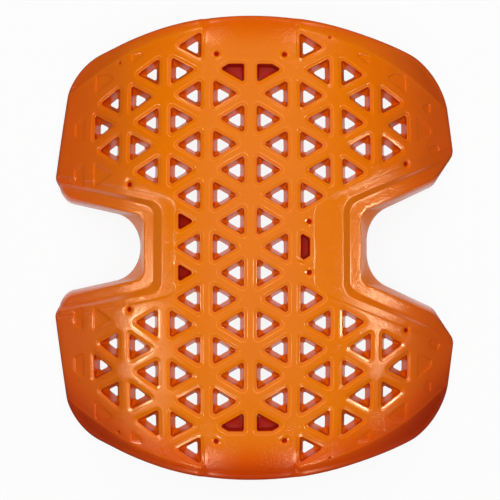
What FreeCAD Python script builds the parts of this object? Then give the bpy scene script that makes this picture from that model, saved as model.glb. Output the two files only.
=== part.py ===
"""Vented knee protector insert: one moulding of soft polymer, in millimetres.

The moulding is an arched shell that wraps the knee. Seen in plan it has the outline of an H: two
lobes above and two below, with a notch on each side that lets the knee bend. A lattice of
triangular cells covers the shell. Most cells are vents that go right through, and the rest are
blind pockets. Round each notch the shell steps down twice, to a plain band and then to a shelf.

Frame: +Z points out of the crown, away from the knee. X runs across the leg and Y along it.
The origin is at the centre of the moulding's box, on the plane that the four lobes rest on.
"""
import FreeCAD, Part
import math
import os
import Sketcher

doc = FreeCAD.newDocument("knee_protector")
sizes = doc.addObject("Spreadsheet::Sheet", "sizes")

SIZES = (
    # The arched section across the leg, and the long arc that it is swept along
    ("crown_height", 78.0, "top of the crown above the resting plane"),
    ("left_shoulder_radius", 98.0, "section radius of the left shoulder"),
    ("right_shoulder_radius", 126.0, "section radius of the right shoulder"),
    ("left_flank_angle", 46.0, "slope of the left flank, in degrees"),
    ("right_flank_angle", 51.0, "slope of the right flank, in degrees"),
    ("length_radius", 533.0, "radius of the long arc along the leg, at the crown"),
    ("length_angle", 40.0, "angle that the blank is swept through, in degrees"),
    ("section_reach", 130.0, "half width of the blank, past the outline"),
    ("shell_thickness", 8.5, "wall between the outer and the inner surface"),
    # The outline in plan, measured from the middle of the lattice
    ("top_apex_x", 5.7, "where the two slopes of the top edge would meet"),
    ("top_apex_y", 122.8, "height of that meeting point"),
    ("top_apex_fillet", 255.0, "arc that rounds it off"),
    ("left_shoulder_x", 99.5, "left upper corner of a lobe"),
    ("left_shoulder_y", 101.0, "its height"),
    ("left_shoulder_fillet", 27.0, "its rounding"),
    ("right_shoulder_x", 109.0, "right upper corner of a lobe"),
    ("right_shoulder_y", 101.9, "its height"),
    ("right_shoulder_fillet", 30.0, "its rounding"),
    ("left_tip_x", 108.7, "left lobe tip, its outer corner"),
    ("left_tip_y", 36.5, "its height"),
    ("left_heel_x", 100.6, "left lobe tip, the corner next to the notch"),
    ("left_heel_y", 25.4, "its height"),
    ("right_tip_x", 116.2, "right lobe tip, its outer corner"),
    ("right_tip_y", 53.2, "its height"),
    ("right_heel_x", 101.2, "right lobe tip, the corner next to the notch"),
    ("right_heel_y", 34.0, "its height"),
    ("tip_fillet", 5.0, "rounding of the outer corner of each tip"),
    ("heel_fillet", 8.0, "rounding of the corner next to the notch"),
    ("left_notch_floor", 55.1, "innermost line of the left notch"),
    ("left_notch_half", 14.9, "half its height, before rounding"),
    ("left_notch_fillet", 18.0, "rounding of its inner corners"),
    ("right_notch_floor", 58.9, "innermost line of the right notch"),
    ("right_notch_half", 16.0, "half its height, before rounding"),
    ("right_notch_fillet", 20.0, "rounding of its inner corners"),
    # The two steps down to each notch
    ("band_depth", 0.8, "drop from the lattice field to the plain band"),
    ("shelf_depth", 3.5, "drop from the lattice field to the shelf"),
    ("left_band_floor", 37.0, "edge of the lattice field beside the left notch"),
    ("left_band_half", 24.4, "half its height"),
    ("left_band_angle", 9.8, "slope of its upper and lower edges, in degrees"),
    ("left_shelf_floor", 46.5, "edge of the band beside the left notch"),
    ("left_shelf_half", 21.2, "half its height"),
    ("left_shelf_angle", 11.5, "slope of its upper and lower edges, in degrees"),
    ("right_band_floor", 31.2, "edge of the lattice field beside the right notch"),
    ("right_band_half", 22.6, "half its height"),
    ("right_band_angle", 18.6, "slope of its upper and lower edges, in degrees"),
    ("right_shelf_floor", 48.6, "edge of the band beside the right notch"),
    ("right_shelf_half", 22.2, "half its height"),
    ("right_shelf_angle", 22.5, "slope of its upper and lower edges, in degrees"),
    ("step_fillet", 5.0, "rounding of the inner corners of both steps"),
    # The lattice of triangular cells
    ("column_pitch", 21.45, "distance between neighbouring ribs, across the leg"),
    ("row_pitch", 25.3, "side of a cell along the leg"),
    ("vent_rim_length", 10.8, "height of the triangle where a vent meets the outer surface"),
    ("vent_rim_side", 12.6, "base of that triangle"),
    ("vent_draft", 8.0, "taper of a vent's walls towards the knee, in degrees"),
    ("vent_above", 12.0, "how far the core of a vent stands above the outer surface"),
    ("vent_below", 17.5, "how far it reaches below"),
    ("pocket_depth", 6.0, "depth of a blind pocket"),
    ("pocket_end", 91.2, "where the pockets at the top and bottom stop short, along the leg"),
    ("pocket_left", 35.4, "where the pockets at the left edge of the field stop short"),
    ("pocket_right", 29.0, "where the pocket at the right edge of the field stops short"),
    # Small round dimples from the mould
    ("dimple_radius", 1.5, "radius of a dimple"),
    ("dimple_depth", 2.0, "depth of a dimple"),
    ("end_dimple_x", 17.0, "dimples near the top and bottom edges, across the leg"),
    ("end_dimple_y", 96.6, "the same, along the leg"),
    ("middle_dimple_x", 29.1, "dimples beside the pocket at the right edge of the field"),
    ("middle_dimple_y", 12.6, "the same, along the leg"),
    ("left_dimple_x", 61.5, "dimples above and below the left notch"),
    ("left_dimple_y", 31.8, "the same, along the leg"),
    ("right_dimple_x", 81.8, "dimples above and below the right notch"),
    ("right_dimple_y", 43.8, "the same, along the leg"),
)

for row, (alias, value, note) in enumerate(SIZES, start=1):
    sizes.set("A%d" % row, alias)
    sizes.set("B%d" % row, str(value))
    sizes.set("C%d" % row, note)
    sizes.setAlias("B%d" % row, alias)
doc.recompute()


def size(alias):
    """The value of one cell of the sheet."""
    return float(sizes.get(alias))


def origin_plane(body, role):
    """One of a body's own origin planes."""
    return [feature for feature in body.Origin.OriginFeatures if feature.Role == role][0]


def new_body(name):
    """An empty body."""
    return doc.addObject("PartDesign::Body", name)


def new_sketch(body, name, plane, lift=None):
    """A sketch on one of the body's origin planes, lifted off it by an expression."""
    sketch = body.newObject("Sketcher::SketchObject", name)
    sketch.AttachmentSupport = (origin_plane(body, plane), [""])
    sketch.MapMode = "FlatFace"
    if lift:
        sketch.setExpression("AttachmentOffset.Base.z", lift)
    return sketch


def bind(sketch, constraint, expression):
    """Adds a dimension to a sketch and ties it to the sheet."""
    index = sketch.addConstraint(constraint)
    sketch.setExpression("Constraints[%d]" % index, expression)
    return index


# ---------------------------------------------------------------- the arched section

ORIGIN = -1  # the sketch's own origin point and its X axis
Y_AXIS = -2
START, END, CENTRE = range(1, 4)


def section_height(x):
    """Height of the outer surface at distance x from the middle, over the ridge line."""
    name = "left" if x < 0 else "right"
    radius = size(name + "_shoulder_radius")
    flank = math.radians(size(name + "_flank_angle"))
    reach = abs(x)
    flank_start = radius * math.sin(flank)
    if reach <= flank_start:
        return size("crown_height") - radius + math.sqrt(radius**2 - reach**2)
    flank_top = size("crown_height") - radius + radius * math.cos(flank)
    return flank_top - (reach - flank_start) * math.tan(flank)


def surface_height(x, y):
    """Height of the outer surface over any point of the plan."""
    axis = size("crown_height") - size("length_radius")
    return axis + math.sqrt((section_height(x) - axis) ** 2 - y**2)


def add_arch(sketch, offset_text, parent=None):
    """Flank, shoulder, shoulder, flank: each runs smoothly into the next.

    The arch lies the given offset inside the outer surface. A second arch in the same sketch
    is concentric with the first, its parent.
    """
    offset = float(sketch.evalExpression(offset_text))
    top = size("crown_height") - offset
    upright = math.pi / 2
    parts = {}
    for side, name in ((-1, "left"), (1, "right")):
        flank = math.radians(size(name + "_flank_angle"))
        radius = size(name + "_shoulder_radius") - offset
        centre = FreeCAD.Vector(0, top - radius, 0)
        circle = Part.Circle(centre, FreeCAD.Vector(0, 0, 1), radius)
        low, high = sorted((upright, upright - side * flank))
        shoulder = sketch.addGeometry(Part.ArcOfCircle(circle, low, high), False)
        near = centre + FreeCAD.Vector(side * math.sin(flank), math.cos(flank), 0) * radius
        run = (size("section_reach") - abs(near.x)) / math.cos(flank)
        far = near + FreeCAD.Vector(side * math.cos(flank), -math.sin(flank), 0) * run
        line = sketch.addGeometry(Part.LineSegment(near, far), False)
        flank_end = START if side > 0 else END
        sketch.addConstraint(Sketcher.Constraint("Tangent", shoulder, flank_end, line, START))
        if parent:
            centre_of = (shoulder, CENTRE, parent[name], CENTRE)
            sketch.addConstraint(Sketcher.Constraint("Coincident", *centre_of))
            sketch.addConstraint(Sketcher.Constraint("Parallel", line, parent[name + "_flank"]))
        else:
            sketch.addConstraint(Sketcher.Constraint("PointOnObject", shoulder, CENTRE, Y_AXIS))
            rounding = "sizes.%s_shoulder_radius - (%s)" % (name, offset_text)
            bind(sketch, Sketcher.Constraint("Radius", shoulder, radius), rounding)
            slope = -flank if side > 0 else flank - math.pi
            slope_text = ("-sizes.%s_flank_angle" if side > 0 else "sizes.%s_flank_angle - 180") % name
            bind(sketch, Sketcher.Constraint("Angle", line, slope), slope_text)
        parts[name] = shoulder
        parts[name + "_flank"] = line
    left, right = parts["left"], parts["right"]
    sketch.addConstraint(Sketcher.Constraint("Coincident", left, START, right, END))
    sketch.addConstraint(Sketcher.Constraint("PointOnObject", left, START, Y_AXIS))
    crown = Sketcher.Constraint("DistanceY", ORIGIN, START, left, START, top)
    bind(sketch, crown, "sizes.crown_height - (%s)" % offset_text)
    return parts


def arched_slab(name, top, bottom):
    """The space between two offsets of the outer surface, swept along the leg.

    top and bottom are expressions: how far each surface lies below the outer one.
    """
    body = new_body(name)
    sketch = new_sketch(body, name + "_section", "XZ_Plane")
    upper = add_arch(sketch, top)
    lower = add_arch(sketch, bottom, upper)
    for side, flank in ((-1, "left_flank"), (1, "right_flank")):
        first = sketch.getPoint(upper[flank], END)
        second = sketch.getPoint(lower[flank], END)
        wall = sketch.addGeometry(Part.LineSegment(first, second), False)
        sketch.addConstraint(Sketcher.Constraint("Coincident", wall, START, upper[flank], END))
        sketch.addConstraint(Sketcher.Constraint("Coincident", wall, END, lower[flank], END))
        sketch.addConstraint(Sketcher.Constraint("Vertical", wall))
        reach = side * size("section_reach")
        edge = Sketcher.Constraint("DistanceX", ORIGIN, START, wall, START, reach)
        bind(sketch, edge, "%d * sizes.section_reach" % side)
    axis_z = size("crown_height") - size("length_radius")
    left_end = FreeCAD.Vector(-size("section_reach"), axis_z, 0)
    right_end = FreeCAD.Vector(size("section_reach"), axis_z, 0)
    axis = sketch.addGeometry(Part.LineSegment(left_end, right_end), True)
    sketch.addConstraint(Sketcher.Constraint("Horizontal", axis))
    for end, side in ((START, -1), (END, 1)):
        place = Sketcher.Constraint("DistanceX", ORIGIN, START, axis, end, side * size("section_reach"))
        bind(sketch, place, "%d * sizes.section_reach" % side)
    depth = Sketcher.Constraint("DistanceY", ORIGIN, START, axis, START, axis_z)
    bind(sketch, depth, "sizes.crown_height - sizes.length_radius")
    sweep = body.newObject("PartDesign::Revolution", name + "_sweep")
    sweep.Profile = sketch
    sweep.ReferenceAxis = (sketch, ["Axis0"])
    sweep.Midplane = True
    sweep.setExpression("Angle", "sizes.length_angle")
    return body


# ---------------------------------------------------------------- rounded outlines


def rounded_polygon(sketch, corners):
    """A closed outline through corners, each given as expressions: x, y and fillet, 0 for none.

    Construction points hold the corners. Each side runs through two of them, and an arc that
    is tangent to both sides rounds each corner off.
    """
    count = len(corners)
    points = []
    for x_text, y_text, _ in corners:
        x = float(sketch.evalExpression(x_text))
        y = float(sketch.evalExpression(y_text))
        points.append(FreeCAD.Vector(x, y, 0))
    fillets = [float(sketch.evalExpression(text)) for _, _, text in corners]
    marks = []
    for point, (x_text, y_text, _) in zip(points, corners):
        mark = sketch.addGeometry(Part.Point(point), True)
        bind(sketch, Sketcher.Constraint("DistanceX", ORIGIN, START, mark, START, point.x), x_text)
        bind(sketch, Sketcher.Constraint("DistanceY", ORIGIN, START, mark, START, point.y), y_text)
        marks.append(mark)
    trims = []
    for i, point in enumerate(points):
        inward = (points[i - 1] - point).normalize()
        outward = (points[(i + 1) % count] - point).normalize()
        half = inward.getAngle(outward) / 2
        trims.append((inward, outward, half, fillets[i] / math.tan(half)))
    lines = []
    for i, point in enumerate(points):
        following = (i + 1) % count
        first = point + trims[i][1] * trims[i][3]
        second = points[following] + trims[following][0] * trims[following][3]
        lines.append(sketch.addGeometry(Part.LineSegment(first, second), False))
    for i, point in enumerate(points):
        before, after = lines[i - 1], lines[i]
        if fillets[i] == 0:
            sketch.addConstraint(Sketcher.Constraint("Coincident", before, END, marks[i], START))
            sketch.addConstraint(Sketcher.Constraint("Coincident", after, START, marks[i], START))
            continue
        inward, outward, half, trim = trims[i]
        middle = (inward + outward).normalize()
        centre = point + middle * (fillets[i] / math.sin(half))
        circle = Part.Circle(centre, FreeCAD.Vector(0, 0, 1), fillets[i])
        start = point + inward * trim
        end = point + outward * trim
        turns_left = inward.cross(outward).z < 0
        if not turns_left:
            start, end = end, start
        first = math.atan2(start.y - centre.y, start.x - centre.x)
        last = math.atan2(end.y - centre.y, end.x - centre.x)
        if last < first:
            last += 2 * math.pi
        arc = sketch.addGeometry(Part.ArcOfCircle(circle, first, last), False)
        arc_in, arc_out = (START, END) if turns_left else (END, START)
        sketch.addConstraint(Sketcher.Constraint("Tangent", before, END, arc, arc_in))
        sketch.addConstraint(Sketcher.Constraint("Tangent", arc, arc_out, after, START))
        bind(sketch, Sketcher.Constraint("Radius", arc, fillets[i]), corners[i][2])
        sketch.addConstraint(Sketcher.Constraint("PointOnObject", marks[i], START, before))
        sketch.addConstraint(Sketcher.Constraint("PointOnObject", marks[i], START, after))


def half_prism(name, corners):
    """A tall prism on the upper half of an outline, mirrored about the leg's cross section."""
    body = new_body(name)
    sketch = new_sketch(body, name + "_half_outline", "XY_Plane")
    rounded_polygon(sketch, corners)
    pad = body.newObject("PartDesign::Pad", name + "_pad")
    pad.Profile = sketch
    pad.Midplane = True
    pad.setExpression("Length", "4 * sizes.crown_height")
    doc.recompute()
    mirror = body.newObject("PartDesign::Mirrored", name + "_mirror")
    mirror.Originals = [pad]
    mirror.MirrorPlane = (origin_plane(body, "XZ_Plane"), [""])
    body.Tip = mirror
    return body


def plan_prism():
    """Everything inside the outline of the moulding."""
    corners = [
        ("-sizes.left_notch_floor", "0", "0"),
        ("sizes.right_notch_floor", "0", "0"),
        ("sizes.right_notch_floor", "sizes.right_notch_half", "sizes.right_notch_fillet"),
        ("sizes.right_heel_x", "sizes.right_heel_y", "sizes.heel_fillet"),
        ("sizes.right_tip_x", "sizes.right_tip_y", "sizes.tip_fillet"),
        ("sizes.right_shoulder_x", "sizes.right_shoulder_y", "sizes.right_shoulder_fillet"),
        ("sizes.top_apex_x", "sizes.top_apex_y", "sizes.top_apex_fillet"),
        ("-sizes.left_shoulder_x", "sizes.left_shoulder_y", "sizes.left_shoulder_fillet"),
        ("-sizes.left_tip_x", "sizes.left_tip_y", "sizes.tip_fillet"),
        ("-sizes.left_heel_x", "sizes.left_heel_y", "sizes.heel_fillet"),
        ("-sizes.left_notch_floor", "sizes.left_notch_half", "sizes.left_notch_fillet"),
    ]
    return half_prism("plan_prism", corners)


def notch_region(name, side, floor, half, angle, reach="sizes.section_reach"):
    """A tall prism on one notch: a floor line with rounded ends and sides that spread outwards."""
    sign = "-" if side < 0 else ""
    spread = "(%s + (%s - %s) * tan(%s))" % (half, reach, floor, angle)
    corners = [
        (sign + floor, half, "sizes.step_fillet"),
        (sign + reach, spread, "0"),
        (sign + reach, "-" + spread, "0"),
        (sign + floor, "-" + half, "sizes.step_fillet"),
    ]
    body = new_body(name)
    sketch = new_sketch(body, name + "_outline", "XY_Plane")
    rounded_polygon(sketch, corners)
    pad = body.newObject("PartDesign::Pad", name + "_pad")
    pad.Profile = sketch
    pad.Midplane = True
    pad.setExpression("Length", "4 * sizes.crown_height")
    return body


def combine(kind, name, first, second):
    """A boolean of two objects, such as Part::Cut or Part::Common."""
    result = doc.addObject(kind, name)
    result.Base = first
    result.Tool = second
    return result


def notch_step(base, step, cover):
    """Cuts a step down beside both notches; cover is the slab that stands above its floor."""
    for side, name in ((-1, "left"), (1, "right")):
        floor, half, angle = ["sizes.%s_%s_%s" % (name, step, word) for word in ("floor", "half", "angle")]
        region = notch_region("%s_%s_region" % (name, step), side, floor, half, angle)
        waste = combine("Part::Common", "%s_%s_waste" % (name, step), cover, region)
        base = combine("Part::Cut", "%s_%s_step" % (name, step), base, waste)
    return base


# ---------------------------------------------------------------- the lattice of cells

LEFT, RIGHT = -1, 1  # which way a cell's triangle points from its rib

# Vents by rib and by the way they point: rows at and above the middle, as the rows below mirror them
VENTS = {
    (-4, RIGHT): (2.5,),
    (-3, LEFT): (2, 3),
    (-3, RIGHT): (2, 3),
    (-2, LEFT): (1.5, 2.5, 3.5),
    (-2, RIGHT): (1.5, 2.5, 3.5),
    (-1, LEFT): (0, 1, 2, 3, 4),
    (-1, RIGHT): (0, 1, 2, 3),
    (0, LEFT): (0.5, 1.5, 2.5),
    (0, RIGHT): (0.5, 1.5, 2.5),
    (1, LEFT): (0, 1, 2, 3),
    (1, RIGHT): (1, 2, 3, 4),
    (2, LEFT): (1.5, 2.5, 3.5),
    (2, RIGHT): (1.5, 2.5, 3.5),
    (3, LEFT): (2, 3),
    (3, RIGHT): (2, 3),
    (4, LEFT): (2.5,),
}
POCKETS = {(0, LEFT): (3.5,), (0, RIGHT): (3.5,), (-2, RIGHT): (0.5,), (1, RIGHT): (0,)}


def cells(rows_by_rib):
    """Each listed cell's middle and pointing direction, with the rows mirrored."""
    for (rib, points), rows in rows_by_rib.items():
        x = (rib + points / 3.0) * size("column_pitch")
        for row in rows:
            for y in sorted({-row, row}):
                yield x, y * size("row_pitch"), points


def vent_core():
    """The drafted core of one vent, pointing right, with the outer surface at height 0."""
    body = new_body("vent_core")
    sketch = new_sketch(body, "vent_rim_outline", "XY_Plane")
    corners = [
        ("2 / 3 * sizes.vent_rim_length", "0", "0"),
        ("-1 / 3 * sizes.vent_rim_length", "0.5 * sizes.vent_rim_side", "0"),
        ("-1 / 3 * sizes.vent_rim_length", "-0.5 * sizes.vent_rim_side", "0"),
    ]
    rounded_polygon(sketch, corners)
    pad = body.newObject("PartDesign::Pad", "vent_core_pad")
    pad.Profile = sketch
    pad.SideType = "Two sides"
    pad.setExpression("Length", "sizes.vent_above")
    pad.setExpression("Length2", "sizes.vent_below")
    doc.recompute()
    walls = ["Face%d" % (i + 1) for i, face in enumerate(pad.Shape.Faces) if is_upright(face)]
    draft = body.newObject("PartDesign::Draft", "vent_core_draft")
    draft.Base = (pad, walls)
    draft.NeutralPlane = (origin_plane(body, "XY_Plane"), [""])
    draft.Reversed = True
    draft.setExpression("Angle", "sizes.vent_draft")
    return body


def is_upright(face):
    """True for a face that stands along Z."""
    return abs(face.normalAt(0, 0).z) < 0.5


def placed_cores(name, core, rows_by_rib):
    """Copies of the vent's core, one over each listed cell, as one compound."""
    copies = []
    for x, y, points in cells(rows_by_rib):
        copy = core.Shape.copy()
        turn = 0 if points == RIGHT else 180
        spot = FreeCAD.Vector(x, y, surface_height(x, y))
        copy.Placement = FreeCAD.Placement(spot, FreeCAD.Rotation(FreeCAD.Vector(0, 0, 1), turn))
        copies.append(copy)
    feature = doc.addObject("Part::Feature", name)
    feature.Shape = Part.makeCompound(copies)
    return feature


# Dimples by the sheet's name for their place, and the side of the middle that they lie on
DIMPLES = (("end", -1), ("end", 1), ("middle", 1), ("left", -1), ("right", 1))


def dimples():
    """Drill tips for the round dimples, each in a pair above and below the middle."""
    tips = []
    for name, side in DIMPLES:
        for end in (-1, 1):
            x = side * size(name + "_dimple_x")
            y = end * size(name + "_dimple_y")
            depth = size("dimple_depth")
            start = FreeCAD.Vector(x, y, surface_height(x, y) - depth)
            tips.append(Part.makeCylinder(size("dimple_radius"), depth + size("vent_above"), start))
    feature = doc.addObject("Part::Feature", "dimple_drills")
    feature.Shape = Part.makeCompound(tips)
    return feature


# ---------------------------------------------------------------- the moulding

blank = arched_slab("shell_blank", "0", "sizes.shell_thickness")
outline = plan_prism()
band_cover = arched_slab("band_cover", "-sizes.vent_above", "sizes.band_depth")
shelf_cover = arched_slab("shelf_cover", "-sizes.vent_above", "sizes.shelf_depth")
pocket_cover = arched_slab("pocket_cover", "-sizes.vent_above", "sizes.pocket_depth")
doc.recompute()

# The blank's two faces become free-form surfaces, as a mould's are
skin = doc.addObject("Part::Feature", "free_form_blank")
skin.Shape = blank.Shape.toNurbs()
shell = combine("Part::Common", "outlined_shell", skin, outline)
shell = notch_step(shell, "band", band_cover)
shell = notch_step(shell, "shelf", shelf_cover)

ground = doc.addObject("Part::Box", "ground")
ground.setExpression("Length", "4 * sizes.section_reach")
ground.setExpression("Width", "4 * sizes.section_reach")
ground.setExpression("Height", "2 * sizes.crown_height")
ground.setExpression("Placement.Base.x", "-2 * sizes.section_reach")
ground.setExpression("Placement.Base.y", "-2 * sizes.section_reach")
ground.setExpression("Placement.Base.z", "-2 * sizes.crown_height")
shell = combine("Part::Cut", "rested_shell", shell, ground)

core = vent_core()
doc.recompute()
vents = placed_cores("vent_cores", core, VENTS)
pocket_cores = placed_cores("pocket_cores", core, POCKETS)
pocket_limits = doc.addObject("Part::Box", "pocket_limits")
pocket_limits.setExpression("Length", "sizes.pocket_left + sizes.pocket_right")
pocket_limits.setExpression("Width", "2 * sizes.pocket_end")
pocket_limits.setExpression("Height", "2 * sizes.crown_height")
pocket_limits.setExpression("Placement.Base.x", "-sizes.pocket_left")
pocket_limits.setExpression("Placement.Base.y", "-sizes.pocket_end")
bounded = combine("Part::Common", "bounded_pockets", pocket_cores, pocket_limits)
pockets = combine("Part::Common", "pocket_waste", bounded, pocket_cover)
waste = doc.addObject("Part::Compound", "lattice_waste")
waste.Links = [vents, pockets, dimples()]
moulding = combine("Part::Cut", "moulding", shell, waste)
doc.recompute()

# The outline reaches further on the right, so the box's centre lies beside the lattice's middle
box = moulding.Shape.optimalBoundingBox()
knee_pad = doc.addObject("Part::Feature", "knee_pad")
knee_pad.Label = "knee_pad"
knee_pad.Shape = moulding.Shape
knee_pad.Placement = FreeCAD.Placement(
    FreeCAD.Vector(-box.Center.x, -box.Center.y, 0), FreeCAD.Rotation()
)
doc.recompute()

SUBPARTS = (knee_pad,)

for item in doc.Objects:
    if "Invalid" in item.State or "Error" in item.State:
        raise RuntimeError("%s failed: %s" % (item.Name, item.State))
for item in SUBPARTS:
    if item.Shape.isNull() or not item.Shape.isValid() or len(item.Shape.Solids) != 1:
        raise RuntimeError("%s isn't one sound solid" % item.Label)

os.makedirs("parts", exist_ok=True)
for item in SUBPARTS:
    item.Shape.exportStep("parts/%s.step" % item.Label)
    print(item.Label, "volume %.0f mm3" % item.Shape.Volume, item.Shape.optimalBoundingBox())
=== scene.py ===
"""Knee protector insert: the visible mesh of the moulding, its polymer finish and a plain studio.

Lengths are in millimetres and plan points are measured from the middle of the lattice, as in the
CAD model. They become metres in the row frame when the mesh is made. The moulding is arched, so
everything on it is laid out in plan and then takes its height from the arched surface. The studio
round it is in metres.
"""
import math
from functools import partial

import bpy
import numpy as np
from mathutils import Matrix, Vector
from mathutils.geometry import delaunay_2d_cdt


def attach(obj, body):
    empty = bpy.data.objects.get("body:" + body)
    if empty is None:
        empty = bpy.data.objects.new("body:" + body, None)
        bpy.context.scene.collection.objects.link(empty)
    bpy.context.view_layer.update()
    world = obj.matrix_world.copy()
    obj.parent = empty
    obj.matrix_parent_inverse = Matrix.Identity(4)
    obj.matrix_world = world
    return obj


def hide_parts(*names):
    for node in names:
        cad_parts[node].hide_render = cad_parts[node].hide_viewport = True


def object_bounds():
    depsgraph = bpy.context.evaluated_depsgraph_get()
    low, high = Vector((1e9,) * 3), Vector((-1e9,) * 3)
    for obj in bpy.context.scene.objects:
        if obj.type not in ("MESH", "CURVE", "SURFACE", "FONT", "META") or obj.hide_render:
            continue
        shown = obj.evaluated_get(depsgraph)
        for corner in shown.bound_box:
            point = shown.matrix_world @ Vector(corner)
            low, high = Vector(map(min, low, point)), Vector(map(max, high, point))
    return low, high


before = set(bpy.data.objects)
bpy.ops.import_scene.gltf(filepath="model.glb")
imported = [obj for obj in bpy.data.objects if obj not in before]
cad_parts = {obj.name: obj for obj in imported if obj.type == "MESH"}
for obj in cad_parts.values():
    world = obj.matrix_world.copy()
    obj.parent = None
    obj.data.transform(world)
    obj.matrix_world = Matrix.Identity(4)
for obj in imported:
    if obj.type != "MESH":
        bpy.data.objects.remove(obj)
cad_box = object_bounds()

MM = 0.001
LEFT, RIGHT = -1, 1  # the pad's sides, and the ways a cell points from its rib

# ---------------------------------------------------------------- the arched surface

# The section across the leg is a shoulder arc on each side that runs on into a straight flank. It
# is swept along the leg round a level axis far below the crown.
CROWN = cad_box[1].z / MM
SHOULDER_RADIUS = {LEFT: 98.0, RIGHT: 126.0}
FLANK_ANGLE = {LEFT: math.radians(46.0), RIGHT: math.radians(51.0)}
LENGTH_RADIUS = 533.0
AXIS_HEIGHT = CROWN - LENGTH_RADIUS
THICKNESS = 8.5


def section_height(x, depth=0.0):
    """Height of the arched section at x, on the surface that lies depth inside the outer one."""
    radius = np.where(x < 0, SHOULDER_RADIUS[LEFT], SHOULDER_RADIUS[RIGHT]) - depth
    flank = np.where(x < 0, FLANK_ANGLE[LEFT], FLANK_ANGLE[RIGHT])
    reach = np.abs(x)
    middle = CROWN - depth - radius
    flank_start = radius * np.sin(flank)
    shoulder = middle + np.sqrt(np.maximum(radius**2 - reach**2, 0.0))
    straight = middle + radius * np.cos(flank) - (reach - flank_start) * np.tan(flank)
    return np.where(reach <= flank_start, shoulder, straight)


def surface_height(x, y, depth=0.0):
    """Height over a plan point of the surface that lies depth inside the outer one."""
    return AXIS_HEIGHT + np.sqrt((section_height(x, depth) - AXIS_HEIGHT) ** 2 - y**2)


def underside_height(x, y):
    """The inner surface, cut off flat where the lobes rest."""
    return np.maximum(surface_height(x, y, THICKNESS), 0.0)


# ---------------------------------------------------------------- relief of the outer surface


LEAST_EASE = 1e-6


def soft_ramp(t, ease=0.3):
    """0 below 0 and 1 above 1, with both corners rounded over the given ease."""
    ease = np.maximum(ease, LEAST_EASE)
    start = np.clip(t + ease, 0.0, 2 * ease) ** 2 / (4 * ease)
    start = np.where(t > ease, t, start)
    end = np.clip(1.0 - t + ease, 0.0, 2 * ease) ** 2 / (4 * ease)
    return np.where(t < 0.5, start, np.where(t < 1.0 - ease, t, 1.0 - end))


def rounded_min(first, second, fillet):
    """Depth inside two overlapping half planes whose common corner is rounded."""
    u = fillet - first
    v = fillet - second
    outside = np.hypot(np.maximum(u, 0.0), np.maximum(v, 0.0))
    return fillet - outside - np.minimum(np.maximum(u, v), 0.0)


# Nested lines round each notch: floor, half height, slope of the sides in degrees and rounding
NOTCH_LINES = {
    LEFT: {
        "step": (37.0, 24.0, 13.0, 5.0),
        "convex": (43.9, 22.2, 12.0, 5.0),
        "concave": (48.8, 20.1, 15.3, 4.0),
    },
    RIGHT: {
        "step": (31.2, 21.5, 23.0, 5.0),
        "convex": (46.5, 23.4, 22.5, 5.0),
        "concave": (50.3, 21.5, 24.9, 4.0),
    },
}
BAND_DROP = 0.5  # of the plain band round a notch, below the lattice
SHELF_DROP = 3.5  # of the shelf past the band and the slope, beside the notch
SHELF_FADE = (50.0, 100.0, 0.75)  # the shelf loses this share of its drop between these reaches
SHELF_FADE_EASE = 0.2
STEP_WIDTH = 0.7  # in plan, of the step down to the band
LEAST_SLOPE_WIDTH = 1.0
EASE = 0.4  # half width of the rounding along the edges of the slopes and at the creases


def notch_depth(x, y, side, line):
    """How far a plan point lies inside one of the lines round a notch; below 0 outside it."""
    floor, half, angle, fillet = NOTCH_LINES[side][line]
    slope = math.radians(angle)
    past = side * x - floor
    within = (half + past * math.tan(slope) - np.abs(y)) * math.cos(slope)
    return rounded_min(past, within, fillet)


def notch_relief(x, y):
    """Drop of the plain band, the slope and the shelf round both notches."""
    drop = np.zeros_like(x)
    for side in (LEFT, RIGHT):
        step = notch_depth(x, y, side, "step")
        convex = notch_depth(x, y, side, "convex")
        concave = notch_depth(x, y, side, "concave")
        width = np.maximum(convex - concave, LEAST_SLOPE_WIDTH)
        drop += BAND_DROP * soft_ramp(step / STEP_WIDTH)
        start, end, share = SHELF_FADE
        fade = 1.0 - share * soft_ramp((side * x - start) / (end - start), SHELF_FADE_EASE)
        drop += (SHELF_DROP - BAND_DROP) * fade * soft_ramp(convex / width, EASE / width)
    return drop


CREASE_TOP = 112.0  # the creases' distance from the middle at x = 0, where a tab covers them
CREASE_BEND = 0.0028
CREASE_SLOPE = 0.36  # how steeply the bevels fall away past the creases
TAB_HALF_WIDTH = 24.4
TAB_EDGE = 0.6  # width of the change between a tab and the bevels beside it
TAB_START = 99.0  # where the tabs begin to roll over, and the radius of that roll
TAB_RADIUS = 44.0


def crease_line(x):
    """Distance along the leg of the crease past which the ends slope away."""
    return CREASE_TOP - CREASE_BEND * x**2


def past_crease(x, y):
    """How far a plan point lies past the crease of its end."""
    return np.abs(y) - crease_line(x)


def tab_share(x):
    """1 across the smooth tabs and 0 beside them."""
    return soft_ramp((TAB_HALF_WIDTH - np.abs(x)) / TAB_EDGE)


def end_relief(x, y):
    """Drop of the bevels past the creases, and of the smooth tab between them at each end."""
    past = past_crease(x, y)
    bevel = CREASE_SLOPE * np.where(past > EASE, past, np.maximum(past + EASE, 0) ** 2 / (4 * EASE))
    roll = np.maximum(np.abs(y) - TAB_START, 0.0) ** 2 / (2 * TAB_RADIUS)
    tab = tab_share(x)
    return bevel * (1 - tab) + roll * tab


def relief(x, y):
    """How deep the outer surface lies below the arch at a plan point."""
    return notch_relief(x, y) + end_relief(x, y)


def outer_height(x, y):
    """Height of the finished outer surface over a plan point."""
    return surface_height(x, y, relief(x, y))


# ---------------------------------------------------------------- the lattice of cells

COLUMN_PITCH = 21.55
ROW_PITCH = 25.4
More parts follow.
